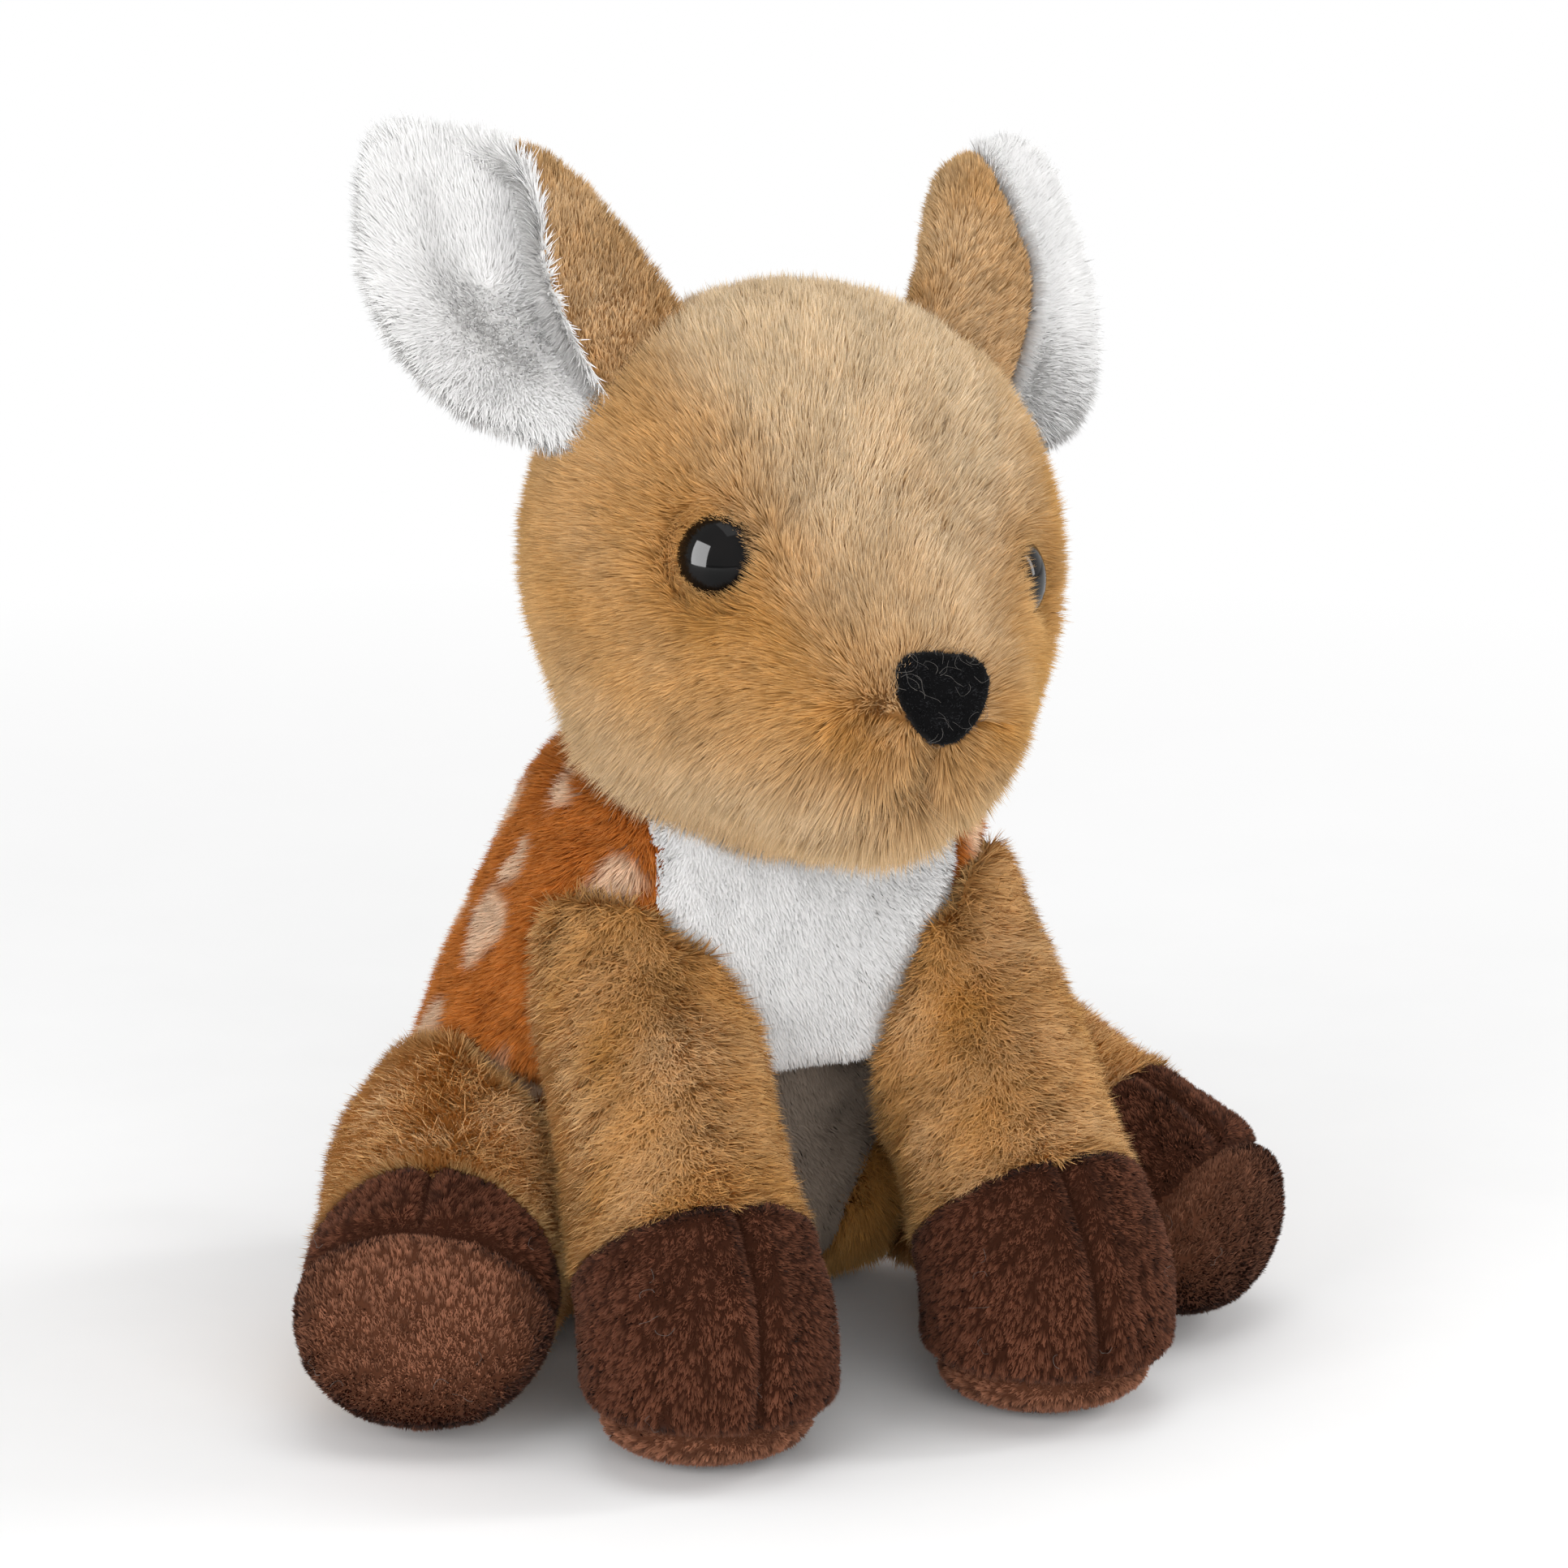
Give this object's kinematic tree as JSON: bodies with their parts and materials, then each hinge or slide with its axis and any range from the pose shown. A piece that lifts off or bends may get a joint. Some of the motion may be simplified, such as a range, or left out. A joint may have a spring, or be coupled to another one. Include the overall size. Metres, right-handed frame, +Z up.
{
  "type": "seated plush fawn",
  "caption": "Seated plush fawn with cupped ears, spotted rust back, white bib and dark velour hooves; head, ears, legs and tail move on sewn joints.",
  "frame": {"origin": "middle of the flat that the seat rests on, at floor level", "axes": "+Z up, -Y the way the toy faces, +X the toy's own left side"},
  "size_m": [0.1756, 0.166, 0.206],
  "materials": {
    "tan_plush": "long pile, brushed",
    "light_tan_plush": "long pile, brushed",
    "rust_print_plush": "long pile with printed pale spots",
    "white_plush": "medium pile",
    "hoof_velour": "short velour pile",
    "sole_velour": "short velour pile",
    "polyester_fill": "loose fibre",
    "pellet_cloth": "plain weave",
    "eye_plastic": "polished",
    "nose_flock": "flocked",
    "washer_nylon": "moulded"
  },
  "bodies": {
    "torso": {"back_panel_left": "rust_print_plush", "back_panel_right": "rust_print_plush", "bib_panel": "white_plush", "belly_panel": "white_plush", "seat_panel": "tan_plush", "body_stuffing": "polyester_fill", "pellet_bag": "pellet_cloth"},
    "head": {"forehead_gusset": "light_tan_plush", "cheek_panel_left": "tan_plush", "cheek_panel_right": "tan_plush", "chin_panel": "tan_plush", "head_stuffing": "polyester_fill", "eye_left": "eye_plastic", "eye_right": "eye_plastic", "eye_washer_left": "washer_nylon", "eye_washer_right": "washer_nylon", "nose": "nose_flock", "nose_washer": "washer_nylon"},
    "ear_left": {"ear_back_left": "tan_plush", "ear_lining_left": "white_plush"},
    "ear_right": {"ear_back_right": "tan_plush", "ear_lining_right": "white_plush"},
    "front_leg_left": {"front_leg_outer_left": "tan_plush", "front_leg_inner_left": "tan_plush", "front_hoof_outer_left": "hoof_velour", "front_hoof_inner_left": "hoof_velour", "front_sole_left": "sole_velour", "front_leg_stuffing_left": "polyester_fill"},
    "front_leg_right": {"front_leg_outer_right": "tan_plush", "front_leg_inner_right": "tan_plush", "front_hoof_outer_right": "hoof_velour", "front_hoof_inner_right": "hoof_velour", "front_sole_right": "sole_velour", "front_leg_stuffing_right": "polyester_fill"},
    "hind_leg_left": {"hind_leg_outer_left": "tan_plush", "hind_leg_inner_left": "tan_plush", "hind_hoof_outer_left": "hoof_velour", "hind_hoof_inner_left": "hoof_velour", "hind_sole_left": "sole_velour", "hind_leg_stuffing_left": "polyester_fill"},
    "hind_leg_right": {"hind_leg_outer_right": "tan_plush", "hind_leg_inner_right": "tan_plush", "hind_hoof_outer_right": "hoof_velour", "hind_hoof_inner_right": "hoof_velour", "hind_sole_right": "sole_velour", "hind_leg_stuffing_right": "polyester_fill"},
    "tail": {"tail_top": "rust_print_plush", "tail_underside": "white_plush"}
  },
  "joints": [
    {"name": "neck_turn", "type": "hinge", "parent": "torso", "child": "head", "pos_m": [0, -0.05, 0.135], "axis": [0, 0, 1], "range_deg": [-30, 30], "stiffness_Nm_per_rad": 0.05},
    {"name": "ear_left_fold", "type": "hinge", "parent": "head", "child": "ear_left", "pos_m": [0.03881, -0.04102, 0.15957], "axis": [-0.5581, 0.227, 0.7981], "range_deg": [-20, 20], "stiffness_Nm_per_rad": 0.04},
    {"name": "ear_right_fold", "type": "hinge", "parent": "head", "child": "ear_right", "pos_m": [-0.03285, -0.04102, 0.1671], "axis": [0.7118, 0.2269, 0.6648], "range_deg": [-20, 20], "stiffness_Nm_per_rad": 0.04},
    {"name": "front_leg_left_lift", "type": "hinge", "parent": "torso", "child": "front_leg_left", "pos_m": [0.026, -0.048, 0.086], "axis": [-1, 0, 0], "range_deg": [0, 45], "stiffness_Nm_per_rad": 0.03},
    {"name": "front_leg_right_lift", "type": "hinge", "parent": "torso", "child": "front_leg_right", "pos_m": [-0.026, -0.048, 0.086], "axis": [-1, 0, 0], "range_deg": [0, 45], "stiffness_Nm_per_rad": 0.03},
    {"name": "hind_leg_left_splay", "type": "hinge", "parent": "torso", "child": "hind_leg_left", "pos_m": [0.048, 0.001, 0.028], "axis": [0, 0, 1], "range_deg": [0, 25], "stiffness_Nm_per_rad": 0.05},
    {"name": "hind_leg_right_splay", "type": "hinge", "parent": "torso", "child": "hind_leg_right", "pos_m": [-0.048, 0.001, 0.028], "axis": [0, 0, -1], "range_deg": [0, 25], "stiffness_Nm_per_rad": 0.05},
    {"name": "tail_lift", "type": "hinge", "parent": "torso", "child": "tail", "pos_m": [0, 0.03117, 0.04], "axis": [1, 0, 0], "range_deg": [-15, 25], "stiffness_Nm_per_rad": 0.01}
  ]
}
